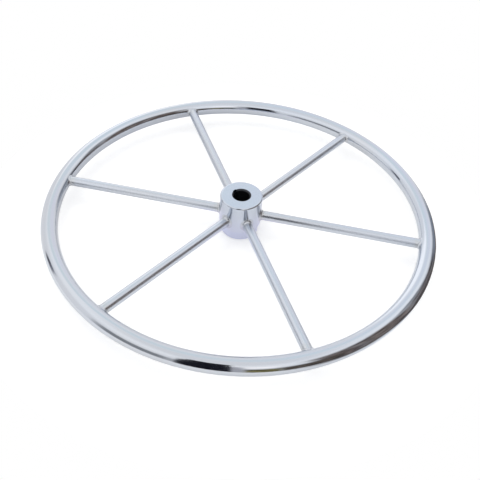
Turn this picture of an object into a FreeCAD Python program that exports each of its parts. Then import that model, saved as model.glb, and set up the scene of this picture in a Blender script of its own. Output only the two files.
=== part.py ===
"""A boat's steering wheel in polished stainless steel: a tube rim, six straight spokes and a keyed hub, all welded.

The wheel lies flat. Its axis is Z, the spokes lie in the plane Z = 0, and spoke 1 points along +X.
The hub's narrow boss points down, towards the shoulder of the steering shaft. All sizes are in millimetres.
"""

import FreeCAD
import Part

import math
import os

WHEEL_DIAMETER = 610.0

RIM_TUBE_DIAMETER = 25.4
RIM_TUBE_WALL = 1.5

SPOKE_COUNT = 6
SPOKE_DIAMETER = 15.0
SPOKE_WALL = 1.5
SPOKE_HOLE_CLEARANCE = 0.15
SPOKE_SOCKET_DEPTH = 9.0
SPOKE_END_IN_RIM = 1.5
SPOKE_WELD_SIZE = 4.5

HUB_DIAMETER = 66.0
HUB_LENGTH = 68.0
HUB_TOP_ROUND = 3.0
SHOULDER_BELOW_WELDS = 5.0
SHOULDER_WIDTH = 3.5
SHOULDER_ROUND = 2.0
BOSS_ROUND = 2.0

BORE_DIAMETER = 25.4
BORE_CHAMFER = 2.0
KEYWAY_WIDTH = 6.35
KEYWAY_DEPTH = 3.2

# What follows is worked out from the sizes above.
RIM_TUBE_RADIUS = RIM_TUBE_DIAMETER / 2
RIM_HOLLOW_RADIUS = RIM_TUBE_RADIUS - RIM_TUBE_WALL
RIM_RADIUS = WHEEL_DIAMETER / 2 - RIM_TUBE_RADIUS

SPOKE_ANGLE = 360.0 / SPOKE_COUNT
SPOKE_RADIUS = SPOKE_DIAMETER / 2
SPOKE_HOLE_RADIUS = SPOKE_RADIUS + SPOKE_HOLE_CLEARANCE

HUB_RADIUS = HUB_DIAMETER / 2
HUB_TOP = HUB_LENGTH / 2
HUB_BOTTOM = -HUB_LENGTH / 2
SHOULDER_HEIGHT = -(SPOKE_RADIUS + SPOKE_WELD_SIZE + SHOULDER_BELOW_WELDS)
BOSS_RADIUS = HUB_RADIUS - SHOULDER_WIDTH
BORE_RADIUS = BORE_DIAMETER / 2
KEYWAY_ANGLE = 2.5 * SPOKE_ANGLE

SOCKET_FLOOR = HUB_RADIUS - SPOKE_SOCKET_DEPTH
SPOKE_START = SOCKET_FLOOR + SPOKE_HOLE_CLEARANCE
RIM_HOLE_REACH = RIM_RADIUS - math.sqrt(RIM_HOLLOW_RADIUS**2 - SPOKE_HOLE_RADIUS**2)
SPOKE_END = RIM_HOLE_REACH + SPOKE_END_IN_RIM

CENTRE = FreeCAD.Vector(0, 0, 0)
ALONG_X = FreeCAD.Vector(1, 0, 0)
ALONG_Z = FreeCAD.Vector(0, 0, 1)
SAME = 0.001


def turned(shape, angle):
    """A copy of the shape, turned about the wheel's axis."""
    copy = shape.copy()
    copy.rotate(CENTRE, ALONG_Z, angle)
    return copy


def upright_rod(radius, bottom, top):
    """A round rod on the wheel's axis."""
    return Part.makeCylinder(radius, top - bottom, FreeCAD.Vector(0, 0, bottom), ALONG_Z)


def spoke_rod(radius, start, end):
    """A round rod on the line of spoke 1, between two distances from the wheel's axis."""
    return Part.makeCylinder(radius, end - start, FreeCAD.Vector(start, 0, 0), ALONG_X)


def circles(shape, radius, height):
    """The shape's circular edges about the wheel's axis that have this radius and height."""
    found = []
    for edge in shape.Edges:
        box = edge.BoundBox
        if abs(box.ZMin - height) < SAME and abs(box.ZMax - height) < SAME and abs(box.XMax - radius) < SAME:
            found.append(edge)
    return found


def bent_rim(radius):
    """A solid ring along the rim's line, with this radius of section. Its seam is halfway between two spokes."""
    return turned(Part.makeTorus(RIM_RADIUS, radius), SPOKE_ANGLE / 2)


def rim_tube():
    """The rim: a tube bent to a ring and closed, with a hole in its inner wall for each spoke."""
    ring = bent_rim(RIM_TUBE_RADIUS).cut(bent_rim(RIM_HOLLOW_RADIUS))
    hole = spoke_rod(SPOKE_HOLE_RADIUS, RIM_RADIUS - RIM_TUBE_DIAMETER, RIM_RADIUS)
    for number in range(SPOKE_COUNT):
        ring = ring.cut(turned(hole, number * SPOKE_ANGLE))
    return ring


def keyway():
    """The bar that cuts the keyway, halfway between two spokes and as long as the hub."""
    corner = FreeCAD.Vector(0, -KEYWAY_WIDTH / 2, HUB_BOTTOM)
    bar = Part.makeBox(BORE_RADIUS + KEYWAY_DEPTH, KEYWAY_WIDTH, HUB_LENGTH, corner)
    return turned(bar, KEYWAY_ANGLE)


def hub():
    """The hub: a barrel that takes the spokes over a narrower boss, turned in one piece, bored and keyed."""
    barrel = upright_rod(HUB_RADIUS, SHOULDER_HEIGHT, HUB_TOP)
    boss = upright_rod(BOSS_RADIUS, HUB_BOTTOM, SHOULDER_HEIGHT)
    body = barrel.fuse(boss).cut(upright_rod(BORE_RADIUS, HUB_BOTTOM, HUB_TOP))
    body = body.makeFillet(HUB_TOP_ROUND, circles(body, HUB_RADIUS, HUB_TOP))
    body = body.makeFillet(SHOULDER_ROUND, circles(body, HUB_RADIUS, SHOULDER_HEIGHT))
    body = body.makeFillet(BOSS_ROUND, circles(body, BOSS_RADIUS, HUB_BOTTOM))
    mouths = circles(body, BORE_RADIUS, HUB_TOP) + circles(body, BORE_RADIUS, HUB_BOTTOM)
    body = body.makeChamfer(BORE_CHAMFER, mouths).cut(keyway())
    socket = spoke_rod(SPOKE_HOLE_RADIUS, SOCKET_FLOOR, HUB_DIAMETER)
    for number in range(SPOKE_COUNT):
        body = body.cut(turned(socket, number * SPOKE_ANGLE))
    return body


def spoke():
    """Spoke 1: a straight tube, from the floor of its socket in the hub to just inside the rim's wall."""
    return spoke_rod(SPOKE_RADIUS, SPOKE_START, SPOKE_END).cut(spoke_rod(SPOKE_RADIUS - SPOKE_WALL, 0, RIM_RADIUS))


def weld(carrier, start, end):
    """The dressed fillet weld where spoke 1 meets the carrier's skin, between two distances from the axis."""
    joint = carrier.fuse(spoke_rod(SPOKE_RADIUS, start, end))
    root = []
    for edge in joint.Edges:
        round_spoke = all(abs(math.hypot(p.y, p.z) - SPOKE_RADIUS) < SAME for p in edge.discretize(9))
        if round_spoke and edge.BoundBox.XMin > start + SAME and edge.BoundBox.XMax < end - SAME:
            root.append(edge)
    return joint.makeFillet(SPOKE_WELD_SIZE, root).cut(joint)


def hub_weld():
    """The weld round spoke 1 at the hub."""
    return weld(upright_rod(HUB_RADIUS, HUB_BOTTOM, HUB_TOP), SOCKET_FLOOR, HUB_DIAMETER)


def rim_weld():
    """The weld round spoke 1 at the rim, made on the short stretch of the rim that the spoke meets."""
    start = RIM_RADIUS - 2 * RIM_TUBE_DIAMETER
    side = 2 * RIM_TUBE_DIAMETER
    corner = FreeCAD.Vector(RIM_RADIUS - side / 2, -side / 2, -side / 2)
    stretch = bent_rim(RIM_TUBE_RADIUS).common(Part.makeBox(side, side, side, corner))
    return weld(stretch, start, RIM_RADIUS)


def save(name, shape):
    """Writes one sub-part and says what it is."""
    shape.exportStep(os.path.join("parts", name + ".step"))
    print(name, len(shape.Solids), "solid", round(shape.Volume / 1000, 3), "cm3, valid", shape.isValid())


def main():
    os.makedirs("parts", exist_ok=True)
    save("rim_tube", rim_tube())
    save("hub", hub())
    for name, shape in (("spoke", spoke()), ("hub_weld", hub_weld()), ("rim_weld", rim_weld())):
        for number in range(SPOKE_COUNT):
            save(f"{name}_{number + 1}", turned(shape, number * SPOKE_ANGLE))


main()
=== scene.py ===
"""The looks of a boat's steering wheel in polished stainless steel, lying on its hub on a white sheet.

The rim, the spokes and the hub keep their shape and get their finish here. The fillet welds are modelled
with the fine ripple that polishing leaves in them. Lengths are in metres, angles in degrees.
"""

import math

import bpy
from mathutils import Matrix, Vector


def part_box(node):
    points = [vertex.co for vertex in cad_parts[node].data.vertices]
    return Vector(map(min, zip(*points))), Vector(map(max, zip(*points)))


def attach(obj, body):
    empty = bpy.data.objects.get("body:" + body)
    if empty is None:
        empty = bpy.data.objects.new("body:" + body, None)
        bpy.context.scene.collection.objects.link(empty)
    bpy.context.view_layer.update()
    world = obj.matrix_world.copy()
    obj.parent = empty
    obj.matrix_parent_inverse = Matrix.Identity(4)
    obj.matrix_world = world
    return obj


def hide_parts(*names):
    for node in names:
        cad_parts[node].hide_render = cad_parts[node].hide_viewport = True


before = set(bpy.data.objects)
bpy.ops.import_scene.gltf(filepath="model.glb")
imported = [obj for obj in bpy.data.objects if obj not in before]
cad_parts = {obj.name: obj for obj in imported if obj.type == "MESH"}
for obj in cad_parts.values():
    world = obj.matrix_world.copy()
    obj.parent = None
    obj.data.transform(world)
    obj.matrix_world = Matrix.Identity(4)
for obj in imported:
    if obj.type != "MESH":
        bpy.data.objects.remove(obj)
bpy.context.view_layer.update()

# The wheel's own sizes, read from the frame.
SPOKE_COUNT = 6
SPOKE_ANGLE = 360.0 / SPOKE_COUNT
RIM_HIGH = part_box("rim_tube")[1]
HUB_LOW, HUB_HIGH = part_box("hub")
SPOKE_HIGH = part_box("spoke_1")[1]
HUB_WELD_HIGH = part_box("hub_weld_1")[1]
TUBE_RADIUS = RIM_HIGH.z
RIM_RADIUS = RIM_HIGH.x - TUBE_RADIUS
HUB_RADIUS = HUB_HIGH.x
SPOKE_RADIUS = SPOKE_HIGH.z
WELD_SIZE = HUB_WELD_HIGH.x - HUB_RADIUS

# The polishing marks. The noises they come from lie near the middle of 0 to 1.
LINES_LOW = 0.3
LINES_HIGH = 0.7
LINES_DETAIL = 4.0
LINES_BREAK_UP = 0.6
HAIRLINE_GRAIN = 0.45
HAIRLINE_FROM = 0.72
HAIRLINE_FULL = 0.80
HAIRLINE_WEIGHT = 0.6
PATCH_GRAIN = 28.0
PATCH_DETAIL = 3.0
DRIFT_GRAIN = 5.0
DRIFT_LOW = 0.38
DRIFT_HIGH = 0.62
HEAT_TINT_SPREAD = 0.008

# The steel of the rim, the spokes and the welds. The tones are shares of a piece's own colour.
STEEL = (0.63, 0.67, 0.74)
WELD_METAL = (0.60, 0.63, 0.69)
COOLER_TONE = (0.95, 0.965, 0.985)
GREYER_TONE = (1.02, 0.985, 0.94)
STRAW_TONE = (0.98, 0.93, 0.82)
COOLER_SHARE = 0.6
STRAW_SHARE = 0.35
FINEST = 0.8
COARSEST = 1.25
DULL_FROM = 0.35
DULL_FULL = 0.75
DULL_BY = 0.035

# The hub's steel, and the painted shade of its bore, dark out to its chamfer.
HUB_BLUE = (0.62, 0.68, 0.76, 1.0)
HUB_GREY = (0.60, 0.64, 0.74, 1.0)
HUB_STRAW = (0.62, 0.60, 0.58, 1.0)
HUB_STRAW_SHARE = 0.25
HUB_FINEST = 0.12
HUB_COARSEST = 0.2
HUB_LINE_HEIGHT = 0.000012
HUB_WAVE_HEIGHT = 0.00005
# Painted shade: the near-black colour of the deep bore.
BORE_PAINTED_SHADE = (0.06, 0.062, 0.07, 1.0)
BORE_DULL_BY = 0.3
BORE_DARK_TO = 0.0145
BORE_EDGE = 0.0153

# The welds' mesh, and the ripple in it. The ripples don't come evenly: each row of UNEVEN is one slow
# wave that moves them, as its size, its count round the weld and its start.
BEAD_SECTIONS = 288
BEAD_ARC_POINTS = 12
BEAD_RIPPLES = 46
BEAD_RIPPLE_HEIGHT = 0.00007
BEAD_UNEVEN = ((0.8, 3, 0.0), (0.5, 7, 1.0))
BEAD_USUAL_LIFT = 0.6
BEAD_LIFT_CHANGE = 0.4
BEAD_LIFT_WAVES = 5

# The camera, as it stood for the photograph.
CAMERA_DISTANCE = 1.0595
CAMERA_ELEVATION = 42.04
CAMERA_AZIMUTH = 8.71
CAMERA_ROLL = 4.379
CAMERA_YAW = 0.153
CAMERA_PITCH = -2.438
CAMERA_LENS = 50.42
CAMERA_SENSOR = 36.0
CAMERA_NEAR = 0.01
CAMERA_FAR = 50.0

# The white sheet. For the metal alone it carries painted reflections: painted grey behind the wheel on the
# left, painted shade at its edge on the right, and a painted bluer tint and glow close to the hub.
WHITE = (1.0, 1.0, 1.0, 1.0)
SHEET_RADIUS = 0.425
SHEET_SEGMENTS = 96
SHEET_WHITE = (0.9, 0.9, 0.9, 1.0)
SHEET_GLOW = 0.3
SHEET_GLOW_IN_METAL = 0.08
# A painted tint and painted glow by the hub, for the metal alone, that lighten the shade the hub's lower side
# reflects.
SHEET_PAINTED_TINT_BY_HUB = (0.88, 0.83, 0.95, 1.0)
SHEET_BY_HUB_REACH = 0.10
SHEET_PAINTED_GLOW_BY_HUB = 0.15
# Painted shade for the metal alone: the sheet turns dark outside the rim on the right, and the rim shows it
# as a dark band.
SHEET_PAINTED_SHADE = (0.10, 0.085, 0.08, 1.0)
SHEET_DARK_AZIMUTH = -7.0
SHEET_DARK_HALF_WIDTH = 48.0
SHEET_DARK_SIDE_BLUR = 12.0
SHEET_DARK_FROM = 0.30
SHEET_DARK_FROM_IN_FRONT = 0.34
SHEET_DARK_FRONT_AZIMUTH = -36.0
SHEET_DARK_RIGHT_AZIMUTH = -14.0
SHEET_DARK_BLUR = 0.03
# A painted grey reflection: the sheet behind the wheel on the left, as only the metal sees it.
SHEET_PAINTED_GREY = (0.70, 0.70, 0.72, 1.0)
SHEET_GREY_AZIMUTH = 140.0
SHEET_GREY_HALF_WIDTH = 50.0
SHEET_GREY_SIDE_BLUR = 20.0
SHEET_GREY_FROM = 0.10
SHEET_GREY_BLUR = 0.06

# What stands round the set, as spans of direction. It shows only in the metal, and each flag lies over the
# ones before it. Azimuth goes from +X towards +Y, and Low and High are heights over the horizon.
STUDIO_GREY = (0.93, 0.93, 0.94, 1.0)
RING = dict(Half_Width=200.0, Low=34.0, High=62.0, Edge_Blur=22.0)
RING_COLOUR = (1.10, 1.10, 1.10, 1.0)
FLAGS = (
    # A pale blue cloth high up behind the wheel, which shows on the hub's face.
    {"span": dict(Azimuth=99.0, Half_Width=34.0, Low=38.0, High=72.0, Side_Blur=22.0, Edge_Blur=10.0),
     "colour": (0.86, 0.935, 0.97, 1.0), "clutter": False},
    # A window and the wall beside it.
    {"span": dict(Azimuth=116.0, Half_Width=12.0, Low=2.0, High=35.0, Side_Blur=9.0, Edge_Blur=9.0),
     "colour": (1.32, 1.31, 1.30, 1.0), "clutter": False},
    {"span": dict(Azimuth=82.0, Half_Width=14.0, Low=14.0, High=44.0, Side_Blur=12.0, Edge_Blur=12.0),
     "colour": (0.93, 0.93, 1.0, 1.0), "clutter": False},
    # Dark flags on the right.
    {"span": dict(Azimuth=334.0, Half_Width=12.0, Low=-20.0, High=48.0, Side_Blur=14.0, Edge_Blur=20.0),
     "colour": (0.115, 0.095, 0.09, 1.0), "clutter": True},
    {"span": dict(Azimuth=0.0, Half_Width=17.0, Low=-20.0, High=48.0, Side_Blur=14.0, Edge_Blur=20.0),
     "colour": (0.15, 0.127, 0.118, 1.0), "clutter": True},
    {"span": dict(Azimuth=27.0, Half_Width=9.0, Low=12.0, High=42.0, Side_Blur=10.0, Edge_Blur=14.0),
     "colour": (0.34, 0.34, 0.35, 1.0), "clutter": False},
    {"span": dict(Azimuth=32.0, Half_Width=16.0, Low=-20.0, High=21.0, Side_Blur=12.0, Edge_Blur=14.0),
     "colour": (0.13, 0.12, 0.12, 1.0), "clutter": True},
    {"span": dict(Azimuth=52.0, Half_Width=10.0, Low=-20.0, High=20.0, Side_Blur=12.0, Edge_Blur=14.0),
     "colour": (0.27, 0.29, 0.33, 1.0), "clutter": False},
    # In front on the right: a brown one, a yellow one with a bright strip over it, and a grey one.
    {"span": dict(Azimuth=318.5, Half_Width=15.5, Low=-20.0, High=23.0, Side_Blur=5.0, Edge_Blur=14.0),
     "colour": (0.075, 0.063, 0.055, 1.0), "clutter": True},
    {"span": dict(Azimuth=294.5, Half_Width=8.5, Low=-20.0, High=20.0, Side_Blur=4.0, Edge_Blur=12.0),
     "colour": (0.14, 0.13, 0.06, 1.0), "clutter": True},
    {"span": dict(Azimuth=296.0, Half_Width=8.5, Low=31.0, High=45.0, Side_Blur=5.0, Edge_Blur=8.0),
     "colour": (1.35, 1.30, 1.28, 1.0), "clutter": False},
    {"span": dict(Azimuth=281.0, Half_Width=5.0, Low=-20.0, High=44.0, Side_Blur=4.0, Edge_Blur=14.0),
     "colour": (0.50, 0.50, 0.53, 1.0), "clutter": False},
    # In front on the left, and on the left.
    {"span": dict(Azimuth=232.0, Half_Width=20.0, Low=-14.0, High=19.0, Side_Blur=14.0, Edge_Blur=12.0),
     "colour": (0.28, 0.29, 0.305, 1.0), "clutter": False},
    {"span": dict(Azimuth=174.0, Half_Width=5.0, Low=-6.0, High=17.0, Side_Blur=4.0, Edge_Blur=8.0),
     "colour": (0.12, 0.13, 0.16, 1.0), "clutter": True},
)

# The darkest flags aren't even: each goes from one of these shares of its own colour to the other.
CLUTTER_GRAIN = 9.0
CLUTTER_DETAIL = 3.0
CLUTTER_BREAK_UP = 0.6
CLUTTER_LOW = 0.38
CLUTTER_HIGH = 0.62
CLUTTER_DARK = (0.3, 0.28, 0.3)
CLUTTER_LIGHT = (2.1, 2.0, 1.9)

# The black card in front, from side to side and from bottom to top.
CARD_LEFT = -0.142
CARD_RIGHT = 0.119
CARD_PLACE = -0.70
CARD_BOTTOM = -0.25
CARD_TOP = 0.84
CARD_COLOUR = (0.006, 0.006, 0.012, 1.0)
CARD_ROUGHNESS = 0.9

KEY_LAMP = dict(place=(-0.7, 0.4, 1.5), size=1.1, power=3.0)


class Graph:
    """Adds and joins the nodes of one material, world or group."""

    def __init__(self, tree):
        self.tree = tree

    def add(self, kind, inputs=None, **settings):
        """A new node with its settings. An input is a number, a colour, or the socket that feeds it."""
        node = self.tree.nodes.new(kind)
        for name, value in settings.items():
            setattr(node, name, value)
        for name, value in (inputs or {}).items():
            if isinstance(value, bpy.types.NodeSocket):
                self.tree.links.new(value, node.inputs[name])
            else:
                node.inputs[name].default_value = value
        return node

    def math(self, operation, first, second=0.0, third=0.0):
        """One step of arithmetic."""
        inputs = {0: first, 1: second, 2: third}
        return self.add("ShaderNodeMath", inputs, operation=operation).outputs[0]

    def product(self, first, second):
        """The product of two values."""
        return self.math("MULTIPLY", first, second)

    def remap(self, value, low, high, to_low=0.0, to_high=1.0, smooth=True):
        """A value taken from one range to another and held inside it."""
        kind = "SMOOTHSTEP" if smooth else "LINEAR"
        inputs = {"Value": value, "From Min": low, "From Max": high, "To Min": to_low, "To Max": to_high}
        return self.add("ShaderNodeMapRange", inputs, interpolation_type=kind).outputs["Result"]

    def mix(self, factor, first, second):
        """A colour between two others."""
        node = self.add("ShaderNodeMix", data_type="RGBA")
        for name, value in (("Factor_Float", factor), ("A_Color", first), ("B_Color", second)):
            socket = next(s for s in node.inputs if s.identifier == name)
            if isinstance(value, bpy.types.NodeSocket):
                self.tree.links.new(value, socket)
            else:
                socket.default_value = value
        return next(s for s in node.outputs if s.identifier == "Result_Color")

    def vector(self, x, y, z):
        """A vector from its three parts."""
        return self.add("ShaderNodeCombineXYZ", {"X": x, "Y": y, "Z": z}).outputs["Vector"]

    def parts(self, vector):
        """The three parts of a vector, as outputs X, Y and Z."""
        return self.add("ShaderNodeSeparateXYZ", {"Vector": vector}).outputs

    def length(self, vector):
        """The length of a vector."""
        return self.add("ShaderNodeVectorMath", {0: vector}, operation="LENGTH").outputs["Value"]

    def place(self):
        """Where a point lies on its own object."""
        return self.add("ShaderNodeTexCoord").outputs["Object"]

    def noise(self, vector, scale, detail=2.0, roughness=0.5):
        """Soft noise, from 0 to 1."""
        inputs = {"Vector": vector, "Scale": scale, "Detail": detail, "Roughness": roughness}
        return self.add("ShaderNodeTexNoise", inputs).outputs["Fac"]

    def apart(self, azimuth, middle):
        """How many degrees lie between two azimuths, the short way round."""
        return self.math("ABSOLUTE", self.math("WRAP", self.math("SUBTRACT", azimuth, middle), 180.0, -180.0))

    def join(self, value, socket):
        """Leads a value to a socket."""
        self.tree.links.new(value, socket)


def new_group(name, inputs, outputs):
    """An empty node group with named sockets, and its graph, input node and output node."""
    group = bpy.data.node_groups.new(name, "ShaderNodeTree")
    kinds = {"value": "NodeSocketFloat", "vector": "NodeSocketVector"}
    for title, kind, value in inputs:
        socket = group.interface.new_socket(title, in_out="INPUT", socket_type=kinds[kind])
        if value is not None:
            socket.default_value = value
    for title, kind in outputs:
        group.interface.new_socket(title, in_out="OUTPUT", socket_type=kinds[kind])
    graph = Graph(group)
    return group, graph, graph.add("NodeGroupInput").outputs, graph.add("NodeGroupOutput").inputs


def use_group(graph, group, **values):
    """Places a group in a graph. An input's name is written with _ for each space."""
    node = graph.add("ShaderNodeGroup", node_tree=group)
    for name, value in values.items():
        socket = node.inputs[name.replace("_", " ")]
        if isinstance(value, bpy.types.NodeSocket):
            graph.join(value, socket)
        else:
            socket.default_value = value
    return node.outputs


def wheel_coordinates_group():
    """Where a point lies along and round the rim, its spoke and the hub, and how far from the axis."""
    outputs = [("Rim Lay", "vector"), ("Spoke Lay", "vector"), ("Hub Lay", "vector"), ("From Axis", "value")]
    group, g, _, out = new_group("wheel coordinates", [], outputs)
    xyz = g.parts(g.place())
    turn = g.math("ARCTAN2", xyz["Y"], xyz["X"])
    reach = g.length(g.vector(xyz["X"], xyz["Y"], 0.0))
    round_rim = g.math("ARCTAN2", xyz["Z"], g.math("SUBTRACT", reach, RIM_RADIUS))
    half_step = math.radians(SPOKE_ANGLE / 2)
    off_spoke = g.math("WRAP", turn, half_step, -half_step)
    aside = g.product(reach, g.math("SINE", off_spoke))
    round_spoke = g.math("ARCTAN2", xyz["Z"], aside)
    rim_lay = g.vector(g.product(turn, RIM_RADIUS), g.product(round_rim, TUBE_RADIUS), 0.0)
    g.join(rim_lay, out["Rim Lay"])
    g.join(g.vector(reach, g.product(round_spoke, SPOKE_RADIUS), turn), out["Spoke Lay"])
    g.join(g.vector(g.product(turn, HUB_RADIUS), reach, xyz["Z"]), out["Hub Lay"])
    g.join(reach, out["From Axis"])
    return group


def polish_lines_group():
    """Fine lines of the polishing belt, along Lay's first part, with Grain of them in a metre."""
    inputs = [("Lay", "vector", None), ("Grain", "value", 900.0), ("Stretch", "value", 0.02)]
    outputs = [("Lines", "value"), ("Patches", "value"), ("Drift", "value")]
    group, g, given, out = new_group("polish lines", inputs, outputs)
    parts = g.parts(given["Lay"])
    lay = g.vector(g.product(parts["X"], given["Stretch"]), parts["Y"], parts["Z"])
    lines = g.noise(lay, given["Grain"], LINES_DETAIL, LINES_BREAK_UP)
    sparse = g.noise(lay, g.product(given["Grain"], HAIRLINE_GRAIN), detail=0.0)
    hairlines = g.remap(sparse, HAIRLINE_FROM, HAIRLINE_FULL)
    g.join(g.math("MULTIPLY_ADD", hairlines, HAIRLINE_WEIGHT, lines), out["Lines"])
    g.join(g.noise(given["Lay"], PATCH_GRAIN, PATCH_DETAIL), out["Patches"])
    g.join(g.noise(g.place(), DRIFT_GRAIN, detail=1.0), out["Drift"])
    return group


def heat_tint_group():
    """The trace of straw colour that polishing leaves beside the welds, at the hub and at the rim."""
    group, g, given, out = new_group("heat tint", [("From Axis", "value", 0.0)], [("Mask", "value")])
    tints = []
    for weld in (HUB_RADIUS + WELD_SIZE, RIM_RADIUS - TUBE_RADIUS - WELD_SIZE):
        rise = g.remap(given["From Axis"], weld - HEAT_TINT_SPREAD, weld)
        fall = g.remap(given["From Axis"], weld, weld + HEAT_TINT_SPREAD, 1.0, 0.0)
        tints.append(g.product(rise, fall))
    g.join(g.math("MAXIMUM", *tints), out["Mask"])
    return group


def flag_group():
    """A flag, a window or a wall of the studio, as a mask over the directions of the world.

    Its edges are as wide as their blur, half of it on each side.
    """
    inputs = [
        ("Direction", "vector", None), ("Azimuth", "value", 0.0), ("Half Width", "value", 30.0),
        ("Low", "value", -10.0), ("High", "value", 30.0),
        ("Side Blur", "value", 10.0), ("Edge Blur", "value", 8.0),
    ]
    group, g, given, out = new_group("studio flag", inputs, [("Mask", "value")])
    xyz = g.parts(given["Direction"])
    azimuth = g.math("DEGREES", g.math("ARCTAN2", xyz["Y"], xyz["X"]))
    elevation = g.math("DEGREES", g.math("ARCSINE", xyz["Z"]))
    aside = g.math("SUBTRACT", g.apart(azimuth, given["Azimuth"]), given["Half Width"])
    beyond = g.math("DIVIDE", aside, given["Side Blur"])
    below = g.math("DIVIDE", g.math("SUBTRACT", given["Low"], elevation), given["Edge Blur"])
    above = g.math("DIVIDE", g.math("SUBTRACT", elevation, given["High"]), given["Edge Blur"])
    masks = [g.remap(value, -0.5, 0.5, 1.0, 0.0) for value in (beyond, below, above)]
    g.join(g.product(g.product(masks[0], masks[1]), masks[2]), out["Mask"])
    return group


COORDINATES = wheel_coordinates_group()
POLISH = polish_lines_group()
HEAT = heat_tint_group()
FLAG = flag_group()


def new_material(name):
    """An empty material and its graph."""
    material = bpy.data.materials.new(name)
    material.use_nodes = True
    material.node_tree.nodes.clear()
    return material, Graph(material.node_tree)


def set_material(piece, material):
    """Gives a piece its one material."""
    piece.data.materials.clear()
    piece.data.materials.append(material)


def toned(colour, tone):
    """A colour times a tone, as a colour socket takes it."""
    return tuple(part * share for part, share in zip(colour, tone)) + (1.0,)


def finish_steel(g, colour, rough, height):
    """The shader of a steel, from its colour, its roughness and the height of its marks."""
    bump = g.add("ShaderNodeBump", {"Height": height, "Distance": 1.0, "Strength": 1.0})
    inputs = {"Base Color": colour, "Metallic": 1.0, "Roughness": rough, "Normal": bump.outputs["Normal"]}
    shader = g.add("ShaderNodeBsdfPrincipled", inputs)
    g.add("ShaderNodeOutputMaterial", {"Surface": shader.outputs["BSDF"]})


def steel(name, lay, colour, roughness, grain, stretch, line_height, wave_height):
    """Polished stainless steel whose polishing lines follow the piece."""
    material, g = new_material(name)
    where = use_group(g, COORDINATES)
    lines = use_group(g, POLISH, Lay=where[lay], Grain=grain, Stretch=stretch)
    tint = use_group(g, HEAT, From_Axis=where["From Axis"])
    drift = g.remap(lines["Drift"], DRIFT_LOW, DRIFT_HIGH)
    varied = g.mix(drift, toned(colour, GREYER_TONE), (*colour, 1.0))
    clean = g.mix(g.product(lines["Patches"], COOLER_SHARE), varied, toned(colour, COOLER_TONE))
    tinted = g.mix(g.product(tint["Mask"], STRAW_SHARE), clean, toned(colour, STRAW_TONE))
    finest = roughness * FINEST
    coarsest = roughness * COARSEST
    fine = g.remap(lines["Lines"], LINES_LOW, LINES_HIGH, finest, coarsest, smooth=False)
    rough = g.math("ADD", fine, g.remap(lines["Patches"], DULL_FROM, DULL_FULL, 0.0, DULL_BY))
    scratches = g.product(lines["Lines"], line_height)
    height = g.math("ADD", scratches, g.product(lines["Patches"], wave_height))
    finish_steel(g, tinted, rough, height)
    return material


def hub_steel():
    """The hub's turned and polished steel, with lathe rings on its faces and a rougher bore painted dark as
    its shade.
    """
    material, g = new_material("hub_steel")
    where = use_group(g, COORDINATES)
    turned = use_group(g, POLISH, Lay=where["Hub Lay"], Grain=1500.0, Stretch=0.012)
    tint = use_group(g, HEAT, From_Axis=where["From Axis"])
    # Painted shade: out to its chamfer the bore is coloured near black for the shade deep in it, and it is
    # made rougher too.
    in_bore = g.remap(where["From Axis"], BORE_DARK_TO, BORE_EDGE, 1.0, 0.0)
    polished = g.mix(turned["Patches"], HUB_BLUE, HUB_GREY)
    tinted = g.mix(g.product(tint["Mask"], HUB_STRAW_SHARE), polished, HUB_STRAW)
    colour = g.mix(in_bore, tinted, BORE_PAINTED_SHADE)
    fine = g.remap(turned["Lines"], LINES_LOW, LINES_HIGH, HUB_FINEST, HUB_COARSEST, smooth=False)
    rough = g.math("ADD", fine, g.product(in_bore, BORE_DULL_BY))
    rings = g.product(turned["Lines"], HUB_LINE_HEIGHT)
    height = g.math("ADD", rings, g.product(turned["Patches"], HUB_WAVE_HEIGHT))
    finish_steel(g, colour, rough, height)
    return material


def hub_ball(radius, aside, up):
    """The centre of a ball that rolls on the hub's side, from its place beside the spoke."""
    return Vector((math.sqrt(radius**2 - aside**2), aside, up))


def hub_touch(centre, size):
    """Where that ball touches the hub."""
    share = HUB_RADIUS / (HUB_RADIUS + size)
    return Vector((centre.x * share, centre.y * share, centre.z))


def rim_ball(radius, aside, up):
    """The centre of a ball that rolls on the rim's inner side."""
    reach = RIM_RADIUS - math.sqrt(radius**2 - up**2)
    return Vector((math.sqrt(reach**2 - aside**2), aside, up))


def rim_touch(centre, size):
    """Where that ball touches the rim."""
    middle = Vector((centre.x, centre.y, 0.0)).normalized() * RIM_RADIUS
    return middle + (centre - middle) * (TUBE_RADIUS / (TUBE_RADIUS + size))


def bead_lift(angle):
    """How far the ripple stands out of the weld's hollow at an angle round the spoke."""
    turn = angle * BEAD_RIPPLES
    for size, count, start in BEAD_UNEVEN:
        turn += size * math.sin(count * angle + start)
    usual = BEAD_USUAL_LIFT + BEAD_LIFT_CHANGE * math.sin(BEAD_LIFT_WAVES * angle)
    return BEAD_RIPPLE_HEIGHT * usual * (1 + math.sin(turn))


def bead_section(angle, carrier_radius, ball, touch):
    """One section through a weld: the hollow arc from the spoke to its carrier, and the root behind it."""
    lift = bead_lift(angle)
    beside = SPOKE_RADIUS + WELD_SIZE
    aside = SPOKE_RADIUS * math.cos(angle)
    up = SPOKE_RADIUS * math.sin(angle)
    centre = ball(carrier_radius + WELD_SIZE, beside * math.cos(angle), beside * math.sin(angle))
    to_spoke = (Vector((centre.x, aside, up)) - centre).normalized()
    to_carrier = (touch(centre, WELD_SIZE) - centre).normalized()
    points = []
    for step in range(BEAD_ARC_POINTS + 1):
        share = step / BEAD_ARC_POINTS
        out = to_spoke.slerp(to_carrier, share)
        points.append(centre + out * (WELD_SIZE - lift * math.sin(math.pi * share)))
    return points + [ball(carrier_radius, aside, up)]


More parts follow.
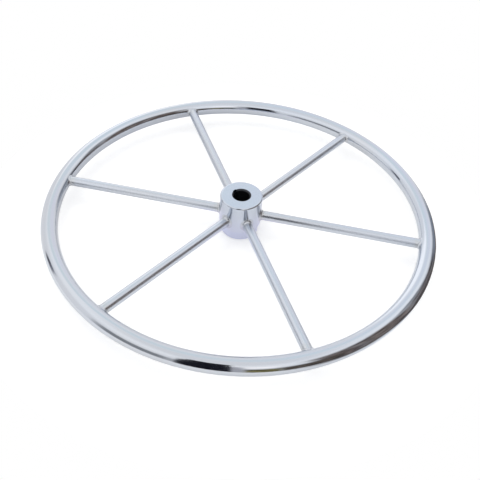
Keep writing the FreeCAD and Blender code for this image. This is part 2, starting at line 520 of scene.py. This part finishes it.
def bead_mesh(name, carrier_radius, ball, touch):
    """A weld round spoke 1, as a closed ring of sections."""
    angles = [math.tau * i / BEAD_SECTIONS for i in range(BEAD_SECTIONS)]
    rings = [bead_section(angle, carrier_radius, ball, touch) for angle in angles]
    size = len(rings[0])
    points = [point for ring in rings for point in ring]
    faces = []
    for i in range(BEAD_SECTIONS):
        here = i * size
        there = (i + 1) % BEAD_SECTIONS * size
        for j in range(size):
            k = (j + 1) % size
            faces.append((here + j, here + k, there + k, there + j))
    mesh = bpy.data.meshes.new(name)
    mesh.from_pydata(points, [], faces)
    mesh.validate()
    for face in mesh.polygons:
        face.use_smooth = face.index % size < BEAD_ARC_POINTS
    mesh.update()
    return mesh


def make_welds(material):
    """The twelve welds, each in the place of its own node."""
    kinds = (("hub_weld", HUB_RADIUS, hub_ball, hub_touch), ("rim_weld", TUBE_RADIUS, rim_ball, rim_touch))
    for kind, carrier_radius, ball, touch in kinds:
        for number in range(1, SPOKE_COUNT + 1):
            name = f"{kind}_{number}"
            mesh = bead_mesh(name + "_bead", carrier_radius, ball, touch)
            mesh.transform(Matrix.Rotation(math.radians(SPOKE_ANGLE * (number - 1)), 4, "Z"))
            bead = bpy.data.objects.new(name + "_bead", mesh)
            bpy.context.scene.collection.objects.link(bead)
            set_material(bead, material)
            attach(bead, "root")
            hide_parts(name)


def sheet_material():
    """White paper that keeps the wheel's shadow, with painted reflections for the metal alone: painted shade
    and grey in places, and a painted tint and glow by the hub.
    """
    material, g = new_material("white_sheet")
    ray = g.add("ShaderNodeLightPath").outputs
    in_metal = ray["Is Glossy Ray"]
    place = g.place()
    xyz = g.parts(place)
    azimuth = g.math("DEGREES", g.math("ARCTAN2", xyz["Y"], xyz["X"]))
    reach = g.length(place)

    # Painted shade that only the metal sees: dark outside the rim on the right, where the sheet's glow is
    # taken away as well.
    narrow = SHEET_DARK_HALF_WIDTH - SHEET_DARK_SIDE_BLUR
    wide = SHEET_DARK_HALF_WIDTH + SHEET_DARK_SIDE_BLUR
    beside = g.remap(g.apart(azimuth, SHEET_DARK_AZIMUTH), narrow, wide, 1.0, 0.0)
    start = g.remap(azimuth, SHEET_DARK_FRONT_AZIMUTH, SHEET_DARK_RIGHT_AZIMUTH,
                    SHEET_DARK_FROM_IN_FRONT, SHEET_DARK_FROM)
    beyond = g.remap(g.math("SUBTRACT", reach, start), 0.0, SHEET_DARK_BLUR)
    dark = g.product(g.product(beside, beyond), in_metal)

    # Painted reflection and painted light: close to the hub the sheet is bluer and glows more for the metal
    # alone, lifting the shade the hub reflects.
    painted_by_hub = g.product(g.remap(reach, HUB_RADIUS, SHEET_BY_HUB_REACH, 1.0, 0.0), in_metal)
    tinted = g.mix(painted_by_hub, SHEET_WHITE, SHEET_PAINTED_TINT_BY_HUB)

    # Painted reflection: a grey patch behind the wheel on the left, for the metal alone.
    narrow = SHEET_GREY_HALF_WIDTH - SHEET_GREY_SIDE_BLUR
    wide = SHEET_GREY_HALF_WIDTH + SHEET_GREY_SIDE_BLUR
    beside = g.remap(g.apart(azimuth, SHEET_GREY_AZIMUTH), narrow, wide, 1.0, 0.0)
    grey = g.product(beside, g.remap(reach, SHEET_GREY_FROM, SHEET_GREY_FROM + SHEET_GREY_BLUR))
    tinted = g.mix(g.product(grey, in_metal), tinted, SHEET_PAINTED_GREY)

    paper = g.add("ShaderNodeBsdfDiffuse", {"Color": g.mix(dark, tinted, SHEET_PAINTED_SHADE)})
    mirrored = g.product(g.math("MAXIMUM", in_metal, ray["Is Transmission Ray"]), SHEET_GLOW_IN_METAL)
    strength = g.math("MULTIPLY_ADD", ray["Is Camera Ray"], SHEET_GLOW, mirrored)
    strength = g.math("MULTIPLY_ADD", painted_by_hub, SHEET_PAINTED_GLOW_BY_HUB, strength)
    strength = g.product(strength, g.math("SUBTRACT", 1.0, dark))
    glow = g.add("ShaderNodeEmission", {"Color": WHITE, "Strength": strength})
    whole = g.add("ShaderNodeAddShader", {0: paper.outputs[0], 1: glow.outputs[0]})
    g.add("ShaderNodeOutputMaterial", {"Surface": whole.outputs[0]})
    return material


def make_sheet():
    """The white sheet under the wheel."""
    bpy.ops.mesh.primitive_circle_add(vertices=SHEET_SEGMENTS, radius=SHEET_RADIUS, fill_type="NGON")
    sheet = bpy.context.object
    sheet.name = "sheet"
    sheet.location.z = HUB_LOW.z
    set_material(sheet, sheet_material())


def make_card():
    """The black card that stands in front of the wheel. Only the metal shows it."""
    sides = (CARD_LEFT, CARD_RIGHT, CARD_RIGHT, CARD_LEFT)
    heights = (CARD_BOTTOM, CARD_BOTTOM, CARD_TOP, CARD_TOP)
    corners = [(x, CARD_PLACE, z) for x, z in zip(sides, heights)]
    mesh = bpy.data.meshes.new("black_card")
    mesh.from_pydata(corners, [], [(0, 1, 2, 3)])
    card = bpy.data.objects.new("black_card", mesh)
    bpy.context.scene.collection.objects.link(card)
    material, g = new_material("black_card")
    inputs = {"Base Color": CARD_COLOUR, "Roughness": CARD_ROUGHNESS, "Specular IOR Level": 0.0}
    shader = g.add("ShaderNodeBsdfPrincipled", inputs)
    g.add("ShaderNodeOutputMaterial", {"Surface": shader.outputs["BSDF"]})
    set_material(card, material)
    card.visible_camera = False
    card.visible_diffuse = False
    card.visible_shadow = False


def make_world():
    """A pale studio with its flags, which the metal shows, and plain white for all else."""
    world = bpy.data.worlds.new("studio")
    bpy.context.scene.world = world
    world.use_nodes = True
    world.node_tree.nodes.clear()
    g = Graph(world.node_tree)
    direction = g.add("ShaderNodeTexCoord").outputs["Generated"]
    ring = use_group(g, FLAG, Direction=direction, **RING)["Mask"]
    shade = g.mix(ring, STUDIO_GREY, RING_COLOUR)
    hangings = g.noise(direction, CLUTTER_GRAIN, CLUTTER_DETAIL, CLUTTER_BREAK_UP)
    clutter = g.remap(hangings, CLUTTER_LOW, CLUTTER_HIGH)
    for flag in FLAGS:
        mask = use_group(g, FLAG, Direction=direction, **flag["span"])["Mask"]
        colour = flag["colour"]
        if flag["clutter"]:
            colour = g.mix(clutter, toned(colour, CLUTTER_DARK), toned(colour, CLUTTER_LIGHT))
        shade = g.mix(mask, shade, colour)
    ray = g.add("ShaderNodeLightPath").outputs
    colour = g.mix(ray["Is Glossy Ray"], WHITE, shade)
    background = g.add("ShaderNodeBackground", {"Color": colour, "Strength": 1.0})
    g.add("ShaderNodeOutputWorld", {"Surface": background.outputs[0]})


def make_lamp(name, place, size, power):
    """A round soft lamp that shines at the wheel's centre and doesn't show in the metal."""
    lamp = bpy.data.lights.new(name, "AREA")
    lamp.shape = "DISK"
    lamp.size = size
    lamp.energy = power
    holder = bpy.data.objects.new(name, lamp)
    holder.location = place
    holder.rotation_mode = "QUATERNION"
    holder.rotation_quaternion = (-Vector(place)).to_track_quat("-Z", "Y")
    bpy.context.scene.collection.objects.link(holder)
    holder.visible_glossy = False


def make_camera():
    """The camera, turned a little from the wheel's centre for the photograph's framing."""
    turn = math.radians(CAMERA_AZIMUTH)
    lift = math.radians(CAMERA_ELEVATION)
    outward = Vector((math.sin(turn) * math.cos(lift), -math.cos(turn) * math.cos(lift), math.sin(lift)))
    right = Vector((math.cos(turn), math.sin(turn), 0.0))
    up = right.cross(-outward)
    yaw = math.tan(math.radians(CAMERA_YAW))
    pitch = math.tan(math.radians(CAMERA_PITCH))
    forward = -outward + yaw * right + pitch * up
    forward.normalize()
    right = forward.cross(up).normalized()
    up = right.cross(forward)
    roll = math.radians(CAMERA_ROLL)
    rolled_right = math.cos(roll) * right + math.sin(roll) * up
    rolled_up = math.cos(roll) * up - math.sin(roll) * right
    data = bpy.data.cameras.new("camera")
    data.lens = CAMERA_LENS
    data.sensor_width = CAMERA_SENSOR
    data.clip_start = CAMERA_NEAR
    data.clip_end = CAMERA_FAR
    camera = bpy.data.objects.new("camera", data)
    axes = Matrix((rolled_right, rolled_up, -forward)).transposed().to_4x4()
    camera.matrix_world = Matrix.Translation(outward * CAMERA_DISTANCE) @ axes
    bpy.context.scene.collection.objects.link(camera)
    bpy.context.scene.camera = camera


rim_steel = steel("rim_steel", "Rim Lay", STEEL, roughness=0.10, grain=900.0, stretch=0.02,
                  line_height=0.000006, wave_height=0.00012)
spoke_steel = steel("spoke_steel", "Spoke Lay", STEEL, roughness=0.25, grain=900.0, stretch=0.02,
                    line_height=0.000006, wave_height=0.00008)
weld_steel = steel("weld_steel", "Spoke Lay", WELD_METAL, roughness=0.20, grain=1400.0, stretch=0.3,
                   line_height=0.00001, wave_height=0.00004)

set_material(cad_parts["rim_tube"], rim_steel)
set_material(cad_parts["hub"], hub_steel())
for number in range(1, SPOKE_COUNT + 1):
    set_material(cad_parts[f"spoke_{number}"], spoke_steel)
make_welds(weld_steel)

make_sheet()
make_card()
make_world()
make_lamp("key", **KEY_LAMP)
make_camera()

bpy.context.scene.view_settings.view_transform = "Standard"
